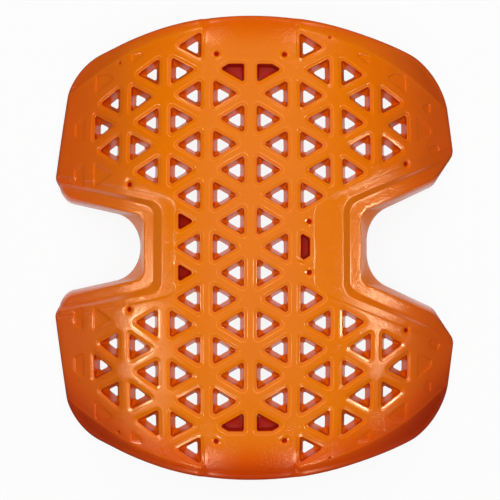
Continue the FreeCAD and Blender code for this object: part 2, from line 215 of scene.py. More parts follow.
# A cell that points right, from its middle: the tip, then the two corners on its rib
CELL = (
    (2 / 3 * COLUMN_PITCH, 0.0),
    (-COLUMN_PITCH / 3, ROW_PITCH / 2),
    (-COLUMN_PITCH / 3, -ROW_PITCH / 2),
)

# Rows at and above the middle of each rib, by the way the cells point; the rows below mirror them
VENTS = {
    (-4, RIGHT): (2.5,),
    (-3, LEFT): (2, 3),
    (-3, RIGHT): (2, 3),
    (-2, LEFT): (1.5, 2.5, 3.5),
    (-2, RIGHT): (1.5, 2.5, 3.5),
    (-1, LEFT): (0, 1, 2, 3, 4),
    (-1, RIGHT): (0, 1, 2, 3),
    (0, LEFT): (0.5, 1.5, 2.5),
    (0, RIGHT): (0.5, 1.5, 2.5),
    (1, LEFT): (0, 1, 2, 3),
    (1, RIGHT): (1, 2, 3, 4),
    (2, LEFT): (1.5, 2.5, 3.5),
    (2, RIGHT): (1.5, 2.5, 3.5),
    (3, LEFT): (2, 3),
    (3, RIGHT): (2, 3),
    (4, LEFT): (2.5,),
}
# Blind pockets: rib, direction, row, and the line that cuts the cell short as (axis, place)
POCKETS = (
    (0, LEFT, 3.5, ("y", 94.6)),
    (0, RIGHT, 3.5, ("y", 94.6)),
    (-2, RIGHT, 0.5, ("x", -38.9)),
    (1, RIGHT, 0, ("x", 32.6)),
)
# Cells of the border that fade out before they break through
FADED_CELLS = (
    (-3, RIGHT, 4), (-4, LEFT, 3.5), (-4, RIGHT, 3.5), (-5, RIGHT, 3),
    (-4, LEFT, 2.5), (-5, RIGHT, 2), (-4, LEFT, 1.5), (-4, RIGHT, 1.5),
    (3, LEFT, 4), (3, RIGHT, 4), (4, LEFT, 3.5), (4, RIGHT, 3.5),
    (5, LEFT, 3), (4, RIGHT, 2.5),
)
FADED_INSET = 3.1
FADED_MARGIN = 2.4  # how far the faded cells stay from the creases
FADED_REACH = {LEFT: 95.5, RIGHT: 99.0}  # and how far out they go
FADED_LEAST = 20.0  # area in plan below which nothing is left of a faded cell
# Rows down into a faded cell: further inset, corner rounding, depth, and painted shade (a painted
# highlight below 0)
FADED_ROWS = (
    (0.00, 1.30, 0.00, 0.0),
    (0.12, 1.20, 0.05, -0.1),
    (0.30, 1.05, 0.30, 0.15),
    (0.48, 0.90, 0.50, 0.2),
    (0.80, 0.65, 0.55, 0.05),
)
# Short rounded recesses near the right edge: middle and turn in degrees; each is mirrored
BARS = ((100.9, 53.4, 28.0),)
BAR_HALF_LENGTH, BAR_HALF_WIDTH = 3.9, 2.1


def mirrored(row):
    """A row, or a place along the leg, and the one that mirrors it, once each."""
    return sorted({-row, row})


def cell_corners(rib, points, row):
    """The corners of one cell's triangle in plan, in order."""
    x, y = (rib + points / 3.0) * COLUMN_PITCH, row * ROW_PITCH
    return [np.array((x + points * dx, y + dy)) for dx, dy in CELL]


def clipped(corners, axis, place):
    """The part of a convex outline on the middle's side of a line at a constant x or y."""
    index = "xy".index(axis)
    sign = 1 if place > 0 else -1
    kept = []
    for i, here in enumerate(corners):
        there = corners[(i + 1) % len(corners)]
        gap, next_gap = (sign * (place - point[index]) for point in (here, there))
        if gap >= 0:
            kept.append(here)
        if gap * next_gap < 0:
            kept.append(here + (there - here) * gap / (gap - next_gap))
    return kept


def area_turned(corners):
    """The area of an outline, above 0 where it turns left at its corners."""
    return sum(a[0] * b[1] - a[1] * b[0] for a, b in zip(corners, corners[1:] + corners[:1])) / 2


def counter_clockwise(corners):
    """The same outline, turning left at its corners."""
    return corners if area_turned(corners) > 0 else corners[::-1]


def inset_corners(corners, inset):
    """The corners of an outline moved inwards; its corners turn left."""
    moved = []
    for i, corner in enumerate(corners):
        before = corner - corners[i - 1]
        after = corners[(i + 1) % len(corners)] - corner
        before, after = before / np.linalg.norm(before), after / np.linalg.norm(after)
        inward = np.array((-before[1], before[0])) + np.array((-after[1], after[0]))
        cosine = before @ after
        moved.append(corner + inward * inset / (1 + cosine))
    return moved


def rounded_loop(corners, fillets, arc_steps, side_steps):
    """Points along an outline with rounded corners: the same count for the same steps."""
    count = len(corners)
    arcs = []
    for i, corner in enumerate(corners):
        back = corners[i - 1] - corner
        ahead = corners[(i + 1) % count] - corner
        back, ahead = back / np.linalg.norm(back), ahead / np.linalg.norm(ahead)
        half = math.acos(np.clip(back @ ahead, -1, 1)) / 2
        middle = (back + ahead) / np.linalg.norm(back + ahead)
        centre = corner + middle * fillets[i] / math.sin(half)
        start = corner + back * fillets[i] / math.tan(half) - centre
        end = corner + ahead * fillets[i] / math.tan(half) - centre
        turn = math.atan2(start[0] * end[1] - start[1] * end[0], start @ end)
        steps = []
        for k in range(arc_steps[i] + 1):
            angle = turn * k / arc_steps[i]
            cosine, sine = math.cos(angle), math.sin(angle)
            spoke = (start[0] * cosine - start[1] * sine, start[0] * sine + start[1] * cosine)
            steps.append(centre + spoke)
        arcs.append(steps)
    points = []
    for i, arc in enumerate(arcs):
        following = arcs[(i + 1) % count][0]
        points += arc
        points += [arc[-1] + (following - arc[-1]) * k / side_steps[i] for k in range(1, side_steps[i])]
    return np.array(points)


def faded_outlines():
    """The outlines of the faded cells, short of the creases and the edge, and of the bars."""
    for rib, points, row in FADED_CELLS:
        for y_row in mirrored(row):
            cell = counter_clockwise(cell_corners(rib, points, y_row))
            middle = np.mean(cell, axis=0)
            side = LEFT if middle[0] < 0 else RIGHT
            outline = clipped(inset_corners(cell, FADED_INSET), "x", side * FADED_REACH[side])
            limit = crease_line(middle[0]) - FADED_MARGIN
            outline = clipped(outline, "y", math.copysign(limit, y_row))
            if len(outline) > 2 and abs(area_turned(outline)) > FADED_LEAST:
                yield counter_clockwise(outline)
    for x, y, turn in BARS:
        for end in (1, -1):
            along = np.array((math.cos(math.radians(turn)), end * math.sin(math.radians(turn))))
            across = np.array((-along[1], along[0]))
            half, width = along * BAR_HALF_LENGTH, across * BAR_HALF_WIDTH
            middle = np.array((x, end * y))
            yield [
                middle - half - width,
                middle + half - width,
                middle + half + width,
                middle - half + width,
            ]


# ---------------------------------------------------------------- grain, and painted shade and highlights

GRAIN_LEAD = 0.3  # the grain starts to fade this far outside a slope
GRAIN_EASE = 0.2
BEVEL_SMOOTHNESS = 0.8
# Painted shade in each place and a painted highlight along the creases; a ramp also has its start and
# its length
FLANK_PAINTED_SHADE, FLANK_START, FLANK_LENGTH = 0.5, 48.0, 58.0
UPPER_PAINTED_SHADE, UPPER_START, UPPER_LENGTH = 0.2, 96.0, 24.0
LOWER_PAINTED_SHADE, LOWER_START, LOWER_LENGTH = 0.68, -17.0, 20.0  # counted from the crease
TAB_PAINTED_SHADE, TAB_PAINTED_SHADE_LENGTH = 0.45, 17.0
BEVEL_PAINTED_SHADE = 0.05
CREASE_PAINTED_HIGHLIGHT = -0.25


def grain_at(x, y):
    """How strong the pebbled grain is: none on the slopes, and little past the creases."""
    smooth = np.zeros_like(x)
    for side in (LEFT, RIGHT):
        convex = notch_depth(x, y, side, "convex")
        concave = notch_depth(x, y, side, "concave")
        slope = soft_ramp(convex + GRAIN_LEAD, GRAIN_EASE) * (1 - soft_ramp(concave, GRAIN_EASE))
        smooth = np.maximum(smooth, slope)
    smooth = np.maximum(smooth, BEVEL_SMOOTHNESS * soft_ramp(past_crease(x, y)))
    return 1.0 - smooth


def full_grain(x, y):
    """The underside is grained all over."""
    return np.ones_like(x)


def painted_light_at(x, y):
    """Painted shade, darker down the flanks and towards both ends, and a painted highlight on the
    creases.
    """
    past = past_crease(x, y)
    flank = FLANK_PAINTED_SHADE * soft_ramp((np.abs(x) - FLANK_START) / FLANK_LENGTH)
    upper = UPPER_PAINTED_SHADE * soft_ramp((y - UPPER_START) / UPPER_LENGTH)
    lower = LOWER_PAINTED_SHADE * soft_ramp((past - LOWER_START) / LOWER_LENGTH)
    tab = TAB_PAINTED_SHADE * tab_share(x) * soft_ramp((np.abs(y) - TAB_START) / TAB_PAINTED_SHADE_LENGTH)
    painted_light = flank + np.where(y > 0, upper, lower) * (1 - flank)
    painted_light = np.where(y > 0, np.maximum(painted_light, tab), painted_light + tab * (1 - painted_light))
    # Painted shade on the bevels past the creases, and a painted highlight along the creases
    crease = BEVEL_PAINTED_SHADE * soft_ramp(past / EASE) + CREASE_PAINTED_HIGHLIGHT * np.exp(-(past / EASE) ** 2)
    beside_tab = soft_ramp((np.abs(x) - TAB_HALF_WIDTH) / TAB_EDGE)
    return painted_light + crease * beside_tab


# ---------------------------------------------------------------- the mesh


SKIN, WALL = 0, 1  # finishes: the grained surface, and the polished walls and edges


class Mesh:
    """Collects points in millimetres with their grain and painted shade and highlight, faces and
    finishes.
    """

    def __init__(self):
        self.points = []
        self.grain = []
        self.painted_light = []
        self.faces = []
        self.finishes = []

    def add_loop(self, plan, height, grain=0.0, painted_light=0.0):
        """Adds a row of points and returns their numbers.

        A painted highlight below 0 pales the painted shade of the place; above 0 the darker painted
        shade holds.
        """
        first = len(self.points)
        self.points += [(x, y, z) for (x, y), z in zip(plan, height)]
        self.grain += list(grain + np.zeros(len(plan)))
        place = painted_light_at(plan[:, 0], plan[:, 1])
        self.painted_light += list(np.where(painted_light < 0, place + painted_light, np.maximum(painted_light, place)))
        return list(range(first, len(self.points)))

    def add_face(self, corners, finish):
        """Adds one face by the numbers of its points."""
        self.faces.append(corners)
        self.finishes.append(finish)

    def bridge(self, outer, inner, finish):
        """Quads between two rows of the same count; the outer row turns left, seen from above."""
        count = len(outer)
        for i in range(count):
            j = (i + 1) % count
            self.add_face((outer[i], outer[j], inner[j], inner[i]), finish)

    def join(self, rings, polished_from=math.inf):
        """Quads down a stack of rows, polished from the row of that number on."""
        for k, (upper, lower) in enumerate(zip(rings, rings[1:])):
            self.bridge(upper, lower, WALL if k >= polished_from else SKIN)

    def fill(self, ring, finish):
        """A fan of triangles inside a convex loop."""
        middle = len(self.points)
        self.points.append(tuple(np.mean([self.points[i] for i in ring], axis=0)))
        self.grain.append(0.0)
        self.painted_light.append(self.painted_light[ring[0]])
        for i, here in enumerate(ring):
            self.add_face((here, ring[(i + 1) % len(ring)], middle), finish)


# Rows down the side of a vent: inset from the cell, corner rounding, depth square to the outer
# surface, and painted light: painted shade above 0, a painted highlight along the rim below 0
VENT_ROWS = (
    (1.05, 2.7, 0.00, 0.0),
    (1.20, 2.6, 0.02, -0.08),
    (1.32, 2.5, 0.08, -0.16),
    (1.44, 2.4, 0.19, -0.12),
    (1.54, 2.3, 0.29, 0.02),
    (1.70, 2.2, 0.34, 0.08),
    (2.60, 1.6, 0.44, 0.05),
    (3.12, 1.0, 0.62, 0.2),
    (3.30, 0.8, 1.00, 0.8),
    (3.44, 0.6, 1.70, 0.8),
    (3.95, 0.6, 3.20, 0.4),
    (4.45, 0.6, 4.60, 0.2),
    (4.95, 0.7, 6.00, 0.2),
    (5.10, 0.8, 6.40, 0.3),
    (5.08, 0.8, 6.80, 0.3),
    (4.80, 1.0, 7.60, 0.2),
    (4.40, 1.2, THICKNESS, 0.2),
)
POLISHED_FROM = 8  # the row from which a cell's side counts as wall
SLOPE_DRAFT = 0.1  # how much a vent narrows with the extra depth that a sloping surface gives it
# The pockets end in floors painted dark red as shade
POCKET_ROWS = VENT_ROWS[:POLISHED_FROM] + (
    (3.30, 0.9, 1.00, 0.9),
    (3.44, 0.8, 1.80, 1.0),
    (3.70, 0.8, 3.60, 1.0),
    (3.90, 0.8, 5.40, 1.0),
    (4.05, 0.8, 5.85, 1.0),
    (4.50, 0.6, 6.00, 1.0),
)
# Places of the dimples in the upper half, which the lower half mirrors
DIMPLES = ((17.0, 96.6), (-17.0, 96.6), (29.1, 12.6), (-61.5, 31.8), (81.8, 43.8))
SMALL_DIMPLES = ((40.5, 107.3), (-68.5, 96.5))
# Rows down into a dimple: radius, depth, and painted shade (a painted highlight below 0)
DIMPLE_ROWS = (
    (2.6, 0.0, 0.0), (2.4, 0.10, -0.15), (2.2, 0.26, 0.0), (1.55, 0.34, 0.05),
    (1.25, 0.7, 0.6), (0.95, 1.5, 1.0), (0.5, 1.9, 1.0),
)
# The same rows for the small dimples, painted darker inside as shade
SMALL_DIMPLE_ROWS = ((1.3, 0.0, 0.0), (1.1, 0.06, 0.0), (0.9, 0.25, 0.3), (0.5, 0.9, 0.9))
DIMPLE_STEPS = 16
ARC_STEPS, SIDE_STEPS = 6, 5  # round each corner of a cell, and along each side


def heights_down(plan, depth):
    """Heights that far below the outer surface, square to it; the full thickness ends underneath."""
    x, y = plan[:, 0], plan[:, 1]
    sunk = relief(x, y)
    return np.maximum(surface_height(x, y, sunk + depth * (1 - sunk / THICKNESS)), 0.0)


def steepness(x, y):
    """How much longer than its thickness the moulding is in the vertical, as a share."""
    across = (surface_height(x + 1.0, y) - surface_height(x - 1.0, y)) / 2.0
    along = (surface_height(x, y + 1.0) - surface_height(x, y - 1.0)) / 2.0
    return math.sqrt(1.0 + across**2 + along**2) - 1.0


def cell_loop(corners, inset, fillet):
    """A rounded loop inside one cell."""
    count = len(corners)
    shape = inset_corners(corners, inset)
    return rounded_loop(shape, [fillet] * count, [ARC_STEPS] * count, [SIDE_STEPS] * count)


def add_cell(mesh, corners, rows, extra=0.0):
    """Loops down into one cell, one for each row; extra narrows them with their depth."""
    rings = []
    for inset, fillet, depth, painted_light_tone in rows:
        plan = cell_loop(corners, inset + extra * depth, fillet)
        rings.append(mesh.add_loop(plan, heights_down(plan, depth), painted_light=painted_light_tone))
    return rings


def add_vents(mesh):
    """All vents. Returns the loops where they meet the outer surface and the underside."""
    tops, bottoms = [], []
    for (rib, points), rows in VENTS.items():
        for row in rows:
            for y_row in mirrored(row):
                corners = counter_clockwise(cell_corners(rib, points, y_row))
                extra = SLOPE_DRAFT * steepness(*np.mean(corners, axis=0))
                rings = add_cell(mesh, corners, VENT_ROWS, extra)
                mesh.join(rings, POLISHED_FROM)
                tops.append(rings[0])
                bottoms.append(rings[-1])
    return tops, bottoms


def add_pockets(mesh):
    """The blind pockets. Returns their loops on the outer surface."""
    tops = []
    for rib, points, row, (axis, place) in POCKETS:
        for y_row in mirrored(row):
            limit = place if axis == "x" else math.copysign(place, y_row)
            corners = counter_clockwise(clipped(cell_corners(rib, points, y_row), axis, limit))
            rings = add_cell(mesh, corners, POCKET_ROWS)
            mesh.join(rings, POLISHED_FROM)
            mesh.fill(rings[-1], WALL)
            tops.append(rings[0])
    return tops


def add_faded_cells(mesh):
    """The shallow remains of cells in the border. Returns their loops on the outer surface."""
    tops = []
    for outline in faded_outlines():
        rings = add_cell(mesh, outline, FADED_ROWS)
        mesh.join(rings)
        mesh.fill(rings[-1], SKIN)
        tops.append(rings[0])
    return tops


def add_dimples(mesh):
    """The small round dimples. Returns their loops on the outer surface."""
    tops = []
    angles = np.linspace(0, 2 * math.pi, DIMPLE_STEPS, endpoint=False)
    spokes = np.stack((np.cos(angles), np.sin(angles)), axis=1)
    for places, rows in ((DIMPLES, DIMPLE_ROWS), (SMALL_DIMPLES, SMALL_DIMPLE_ROWS)):
        for x, y in places:
            for y_place in mirrored(y):
                rings = []
                for radius, depth, painted_light_tone in rows:
                    plan = np.array((x, y_place)) + radius * spokes
                    rings.append(mesh.add_loop(plan, heights_down(plan, depth), painted_light=painted_light_tone))
                mesh.join(rings)
                mesh.fill(rings[-1], SKIN)
                tops.append(rings[0])
    return tops


NOTCH_FLOOR_STEPS = 12
# Half the outline, anticlockwise from the right notch: for each corner its lower edge and its upper
# edge as (x, y, fillet), how far it belongs to a notch, and the arc's and the next side's steps
UPPER_OUTLINE = (
    ((60.2, 15.6, 19.5), (56.2, 17.8, 5.0), 1, 18, 24),
    ((103.2, 34.4, 14.0), (99.6, 36.8, 12.0), 0.5, 10, 8),
    ((116.2, 53.2, 6.0), (112.9, 54.6, 5.0), 0, 8, 20),
    ((109.4, 102.4, 30.0), (106.5, 100.0, 28.0), 0, 24, 24),
    ((-0.5, 122.55, 255.0), (-0.5, 119.45, 252.0), 0, 40, 24),
    ((-99.5, 101.0, 27.0), (-96.7, 98.7, 25.0), 0, 22, 26),
    ((-108.6, 38.0, 7.0), (-105.4, 39.8, 6.0), 0, 8, 6),
    ((-105.0, 25.2, 12.0), (-101.4, 28.0, 10.5), 0.5, 10, 24),
    ((-56.6, 14.4, 18.0), (-53.8, 15.6, 5.0), 1, 18, NOTCH_FLOOR_STEPS),
)
# Rows down the moulding's edge, as (share of the way out, share of the way down): round a lobe,
# and at a notch
LOBE_ROWS = (
    (0.00, 0.000), (0.31, 0.012), (0.59, 0.048), (0.81, 0.103), (0.95, 0.173), (1.00, 0.250),
    (1.00, 0.430), (1.00, 0.620), (1.00, 0.800), (1.00, 0.930), (0.93, 0.985), (0.75, 1.000),
)
NOTCH_ROWS = (
    (0.00, 0.000), (0.03, 0.020), (0.08, 0.070), (0.16, 0.150), (0.28, 0.270), (0.41, 0.400),
    (0.54, 0.530), (0.67, 0.660), (0.80, 0.790), (0.92, 0.910), (0.97, 0.970), (0.94, 1.000),
)
EDGE_PAINTED_SHADE = 0.35  # painted shade along the top of a lobe's edge
EDGE_PAINTED_SHADE_GAIN = 0.5  # and the painted shade it gains over the first third of the way down


def outline_loops():
    """Matching points along the lower and the upper edge of the whole outline, and notch shares."""
    entries = list(UPPER_OUTLINE)
    for lower, upper, notch, arc, side in reversed(UPPER_OUTLINE):
        flipped = [(x, -y, fillet) for x, y, fillet in (lower, upper)]
        entries.append((*flipped, notch, arc, side))
    # A side's steps belong to the corner before it, which the mirrored half sees the other way
    sides = [entry[4] for entry in UPPER_OUTLINE]
    side_steps = sides + sides[-2::-1] + [NOTCH_FLOOR_STEPS]
    arc_steps = [entry[3] for entry in entries]
    loops = []
    for which in (0, 1):
        corners = [np.array(entry[which][:2]) for entry in entries]
        fillets = [entry[which][2] for entry in entries]
        loops.append(rounded_loop(corners, fillets, arc_steps, side_steps))
    shares = []
    for i, entry in enumerate(entries):
        here, ahead = entry[2], entries[(i + 1) % len(entries)][2]
        shares += [here] * (arc_steps[i] + 1)
        shares += [here + (ahead - here) * k / side_steps[i] for k in range(1, side_steps[i])]
    return loops[0], loops[1], np.array(shares)


def add_edge(mesh):
    """The edge all round. Returns its loops on the outer surface and on the underside."""
    lower, upper, notch = outline_loops()
    depth = relief(upper[:, 0], upper[:, 1])
    rings = []
    for (lobe_out, lobe_down), (notch_out, notch_down) in zip(LOBE_ROWS, NOTCH_ROWS):
        out = lobe_out + (notch_out - lobe_out) * notch
        down = lobe_down + (notch_down - lobe_down) * notch
        plan = upper + (lower - upper) * out[:, None]
        x, y = plan[:, 0], plan[:, 1]
        top = surface_height(x, y, depth)
        height = np.maximum(top + (surface_height(x, y, THICKNESS) - top) * down, 0.0)
        # Painted shade down a lobe's edge, none where the edge runs round a notch
        painted_light = (EDGE_PAINTED_SHADE + EDGE_PAINTED_SHADE_GAIN * np.minimum(3 * down, 1.0)) * (1 - notch)
        rings.append(mesh.add_loop(plan, height, painted_light=painted_light))
    for upper_ring, lower_ring in zip(rings, rings[1:]):
        mesh.bridge(lower_ring, upper_ring, WALL)
    return rings[0], rings[-1]


def inside_outline(points, outline):
    """Which plan points lie inside a closed outline."""
    inside = np.zeros(len(points), bool)
    px, py = points[:, 0], points[:, 1]
    for (x1, y1), (x2, y2) in zip(outline, np.roll(outline, -1, axis=0)):
        if y1 == y2:
            continue
        crosses = (y1 > py) != (y2 > py)
        inside ^= crosses & (px < x1 + (py - y1) * (x2 - x1) / (y2 - y1))
    return inside


def outside_holes(points, areas):
    """The plan points that lie in none of the areas."""
    free = np.ones(len(points), bool)
    for area in areas:
        low, high = area.min(axis=0), area.max(axis=0)
        near = np.all((points >= low) & (points <= high), axis=1)
        free[near] &= ~inside_outline(points[near], area)
    return points[free]


# Stretches of the plan that are searched: lowest and highest x, then lowest and highest y
WHOLE_PLAN = (-118, 120, -120, 120)
FEET_AREA = (-112, 118, -100, 100)
NOTCH_AREAS = {LEFT: (-112, -30, -52, 52), RIGHT: (28, 118, -66, 66)}
CREASE_AREAS = (
    (-105, -24.5, 80, 120),
    (24.5, 112, 80, 120),
    (-105, -24.5, -120, -80),
    (24.5, 112, -120, -80),
)
# Where rows of points run along the lines of the relief, as distances past each line
NOTCH_LEVELS = {
    "step": (-0.25, 0.15, 0.55, 0.95),
    "convex": (-0.5, -0.15, 0.15, 0.5),
    "concave": (-0.45, 0.0, 0.45),
}
CREASE_LEVELS = (-EASE, 0.0, EASE)
TAB_LEVELS = (-0.5, -0.1, 0.3)
TAB_RUN = (100, 117, 1.2)  # first and last place along a tab's sides, and the spacing
# Spacing of the points that are tried, and the least gap that is left between them
LINE_SPACING, LINE_GAP = 1.3, 0.34
OUTER_SPACING, OUTER_GAP = 1.9, 0.95
FEET_SPACING, FEET_GAP = 1.6, 0.9
UNDER_SPACING, UNDER_GAP = 3.0, 1.4
GRID_UNEVENNESS = 0.12  # share of the spacing
SIDE_UNEVENNESS = 0.004
GRID_SEED, SIDE_SEED = 3, 5
LEAST_SLOPE = 0.68  # a line is marked only where it crosses the search lines at least this steeply
MERGE_DISTANCE = 1e-5


def spread_points(spacing):
    """A slightly uneven triangular grid over the whole plan."""
    chance = np.random.default_rng(GRID_SEED)
    left, right, bottom, top = WHOLE_PLAN
    rows = []
    for k, y in enumerate(np.arange(bottom, top, spacing * math.sqrt(3) / 2)):
        x = np.arange(left, right, spacing) + (k % 2) * spacing / 2
        rows.append(np.stack((x, np.full_like(x, y)), axis=1))
    grid = np.concatenate(rows)
    return grid + chance.uniform(-GRID_UNEVENNESS, GRID_UNEVENNESS, grid.shape) * spacing


def level_points(depth_of, levels, spacing, area):
    """Points along the level lines of a depth function, found on a fine grid by a march."""
    xs = np.arange(area[0], area[1], spacing)
    ys = np.arange(area[2], area[3], spacing)
    found = []
    for level in levels:
        for lines, across, swap in ((xs, ys, False), (ys, xs, True)):
            first, second = np.meshgrid(lines, across, indexing="ij")
            x, y = (second, first) if swap else (first, second)
            depth = depth_of(x, y) - level
            before, after = depth[:, :-1], depth[:, 1:]
            i, j = np.nonzero(before * after < 0)
            share = before[i, j] / (before[i, j] - after[i, j])
            crossing = across[j] + share * spacing
            steep = np.abs(after[i, j] - before[i, j]) > LEAST_SLOPE * spacing
            pair = (crossing, lines[i]) if swap else (lines[i], crossing)
            found.append(np.stack(pair, axis=1)[steep])
    return np.concatenate(found)


def feature_points():
    """Rows of points along every line of the relief, so that its edges come out crisp."""
    found = []
    for side, area in NOTCH_AREAS.items():
        for line, levels in NOTCH_LEVELS.items():
            depth_of = partial(notch_depth, side=side, line=line)
            found.append(level_points(depth_of, levels, LINE_SPACING, area))
    for area in CREASE_AREAS:
        found.append(level_points(past_crease, CREASE_LEVELS, LINE_SPACING, area))
    for x in (-TAB_HALF_WIDTH, TAB_HALF_WIDTH):
        for level in TAB_LEVELS:
            for end in (-1, 1):
                y = end * np.arange(*TAB_RUN)
                found.append(np.stack((np.full_like(y, x - math.copysign(level, x)), y), axis=1))
    return np.concatenate(found)


def thinned(points, gap, fixed):
    """Points that keep a gap from the fixed ones and from each other, first come first kept."""
    taken = {}
    for x, y in fixed:
        taken.setdefault((int(x // gap), int(y // gap)), []).append((x, y))
    kept = []
    for x, y in points:
        column, row = int(x // gap), int(y // gap)
        near = [
            p
            for i in (column - 1, column, column + 1)
            for j in (row - 1, row, row + 1)
            for p in taken.get((i, j), ())
        ]
        if all((x - px) ** 2 + (y - py) ** 2 >= gap**2 for px, py in near):
            taken.setdefault((column, row), []).append((x, y))
            kept.append((x, y))
    return np.array(kept)


def ring_edges(rings):
    """The edges round every ring, by the places of their ends among all the rings' points."""
    edges = []
    first = 0
    for ring in rings:
        count = len(ring)
        edges += [(first + i, first + (i + 1) % count) for i in range(count)]
        first += count
    return edges


def triangulated(plan, edges):
    """Triangles between all the plan points, with every edge kept, as rows of point numbers."""
    places = [Vector(point) for point in plan]
    _, _, triangles, sources, _, _ = delaunay_2d_cdt(places, edges, [], 0, MERGE_DISTANCE)
    if len(sources) != len(plan) or any(len(s) != 1 for s in sources):
        raise RuntimeError("two points of a sheet fell together")
    return np.array([[sources[i][0] for i in triangle] for triangle in triangles])


def add_sheet(mesh, outline, holes, free, height_of, grain_of, flip):
    """A sheet of triangles between an outline and its holes, through the free points as well."""
    rings = [outline] + holes
    numbers = [i for ring in rings for i in ring]
    loop_of = {i: k for k, ring in enumerate(rings) for i in ring}
    chance = np.random.default_rng(SIDE_SEED)
    # A hair of unevenness, so that no triangle lies flat along a straight side
    hair = chance.uniform(-SIDE_UNEVENNESS, SIDE_UNEVENNESS, (len(numbers), 2))
    plan = np.array([mesh.points[i][:2] for i in numbers]) + hair
    border = plan[:len(outline)]
    free = free[inside_outline(free, border)]
    x, y = free[:, 0], free[:, 1]
    numbers += mesh.add_loop(free, height_of(x, y), grain_of(x, y))
    plan = np.concatenate((plan, free))
    corners = triangulated(plan, ring_edges(rings))
    within = inside_outline(plan[corners].mean(axis=1), border)
    for triangle, kept in zip(corners, within):
        face = [numbers[i] for i in triangle]
        loops = {loop_of.get(i) for i in face}
        in_hole = len(loops) == 1 and None not in loops and 0 not in loops
        if not kept or in_hole:
            continue
        (ax, ay, _), (bx, by, _), (cx, cy, _) = (mesh.points[i] for i in face)
        turns_left = (bx - ax) * (cy - ay) - (by - ay) * (cx - ax) > 0
        mesh.add_face(tuple(face if turns_left != flip else face[::-1]), SKIN)


def free_points(mesh, edge, holes, lines, line_gap, spacing, grid_gap):
    """Points for a sheet: those along its lines, then a grid between them, clear of its holes."""
    fixed = [mesh.points[i][:2] for ring in [edge] + holes for i in ring]
    areas = [np.array([mesh.points[i][:2] for i in ring]) for ring in holes]
    kept = outside_holes(thinned(lines, line_gap, fixed), areas)
    grid = thinned(spread_points(spacing), grid_gap, np.concatenate((fixed, kept)))
    return np.concatenate((kept, outside_holes(grid, areas)))


def pad_mesh():
    """The whole moulding as one closed mesh."""
    mesh = Mesh()
    vent_tops, vent_bottoms = add_vents(mesh)
    tops = vent_tops + add_pockets(mesh) + add_faded_cells(mesh) + add_dimples(mesh)
    edge_top, edge_bottom = add_edge(mesh)
    free = free_points(mesh, edge_top, tops, feature_points(), LINE_GAP, OUTER_SPACING, OUTER_GAP)
    add_sheet(mesh, edge_top, tops, free, outer_height, grain_at, False)
    inner_height = partial(surface_height, depth=THICKNESS)
    feet = level_points(inner_height, (0.0,), FEET_SPACING, FEET_AREA)
    free = free_points(mesh, edge_bottom, vent_bottoms, feet, FEET_GAP, UNDER_SPACING, UNDER_GAP)
    add_sheet(mesh, edge_bottom, vent_bottoms, free, underside_height, full_grain, True)
    return mesh


def lattice_middle(mesh):
    """Where the middle of the lattice lies in the row frame, in millimetres."""
    reach = max(point[0] for point in mesh.points)
    return cad_box[1].x / MM - reach


def make_pad(materials):
    """The moulding as one Blender object in the row frame."""
    mesh = pad_mesh()
    shift = np.array((lattice_middle(mesh), 0.0, 0.0))
    data = bpy.data.meshes.new("knee_pad_moulding")
    data.from_pydata(((np.array(mesh.points) + shift) * MM).tolist(), [], mesh.faces)
    for material in materials:
        data.materials.append(material)
    data.polygons.foreach_set("material_index", mesh.finishes)
    data.polygons.foreach_set("use_smooth", [True] * len(mesh.faces))
    # The colour reads the painted shade and highlight that the mesh carries beside its grain
    for name, values in (("grain", mesh.grain), ("painted_light", mesh.painted_light)):
        marks = data.attributes.new(name, "FLOAT", "POINT")
        marks.data.foreach_set("value", np.array(values, np.float32))
    data.validate()
    data.update()
    pad = bpy.data.objects.new("knee_pad_moulding", data)
    bpy.context.scene.collection.objects.link(pad)
    return pad


# ---------------------------------------------------------------- materials


def new_material(name):
    """A node material with only an output: the material, its tree and that output."""
    material = bpy.data.materials.new(name)
    material.use_nodes = True
    tree = material.node_tree
    tree.nodes.clear()
    output = tree.nodes.new("ShaderNodeOutputMaterial")
    return material, tree, output


def node(tree, kind, **settings):
    """A node with its settings; inputs gives values to its sockets, by name or number."""
    made = tree.nodes.new(kind)
    for key, value in settings.items():
        if key == "inputs":
            for socket, amount in value.items():
                made.inputs[socket].default_value = amount
        else:
            setattr(made, key, value)
    return made


def srgb(red, green, blue):
    """A linear colour from the 0 to 255 values that a screen shows."""
    def linear(value):
        value /= 255.0
        return value / 12.92 if value <= 0.04045 else ((value + 0.055) / 1.055) ** 2.4
    return (linear(red), linear(green), linear(blue), 1.0)


# The plain orange, with a paler painted highlight and two reds of painted shade
PAINTED_HIGHLIGHT_ORANGE = srgb(250, 150, 40)
ORANGE = srgb(231, 117, 0)
PAINTED_SHADE_RED_ORANGE = srgb(222, 84, 2)
PAINTED_SHADE_DARK_RED = srgb(172, 22, 0)
# Places of the plain orange and of the painted shade's red-orange, from painted highlight to darkest
# shade
PLAIN_DEPTH, PAINTED_SHADE_PLACE = 0.2, 0.6
PAINTED_LIGHT_SHARE = 0.8  # how far the mesh's full painted shade moves it past the plain orange
CLOUDS = 0.04  # and how much it drifts by itself
CLOUD_SCALE = 42.0
GLOSS_DRIFT = (-0.04, 0.05)  # how far the roughness drifts down and up
PEBBLE_SCALE = 1500.0
PEBBLE_HEIGHT = 0.00016


def noise(tree, scale, detail, roughness):
    """Noise that is fixed to the object."""
    place = node(tree, "ShaderNodeTexCoord").outputs["Object"]
    amounts = {"Scale": scale, "Detail": detail, "Roughness": roughness}
    made = node(tree, "ShaderNodeTexNoise", inputs=amounts)
    tree.links.new(place, made.inputs["Vector"])
    return made.outputs["Fac"]


